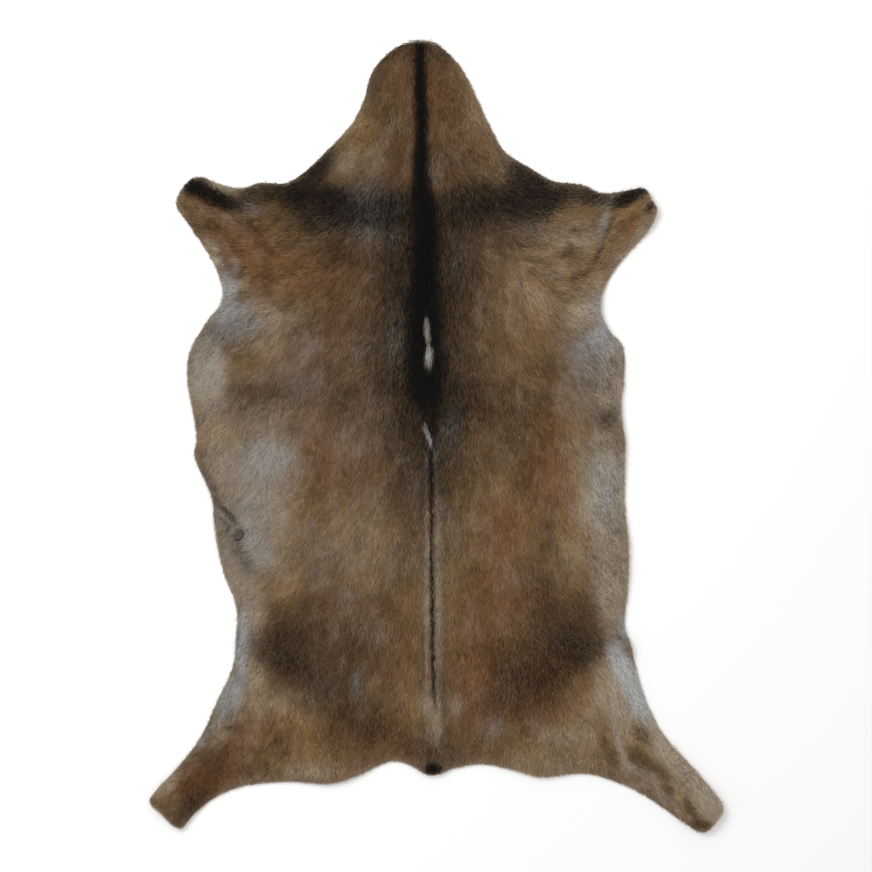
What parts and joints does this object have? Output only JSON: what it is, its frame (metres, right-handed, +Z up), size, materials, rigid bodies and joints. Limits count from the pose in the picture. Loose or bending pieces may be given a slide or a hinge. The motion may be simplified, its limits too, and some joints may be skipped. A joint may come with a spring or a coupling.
{
  "type": "goatskin rug",
  "caption": "Whole tanned goat hide laid flat with its short coat up, used as a rug: neck, four legs and tail stub in outline, leather underside.",
  "frame": {"origin": "on the floor, under the middle of the hide's length and width", "axes": "+Y to the neck, along the spine; +X to the right-hand legs seen from above with the neck away; +Z up, out of the coat"},
  "size_m": [0.7233, 0.9985, 0.0129],
  "materials": {
    "goat_coat": "short, straight brown and black goat hair lying flat, pale at the edges, on matt suede leather"
  },
  "bodies": {
    "root": {"goat_hide": "goat_coat"}
  },
  "joints": []
}
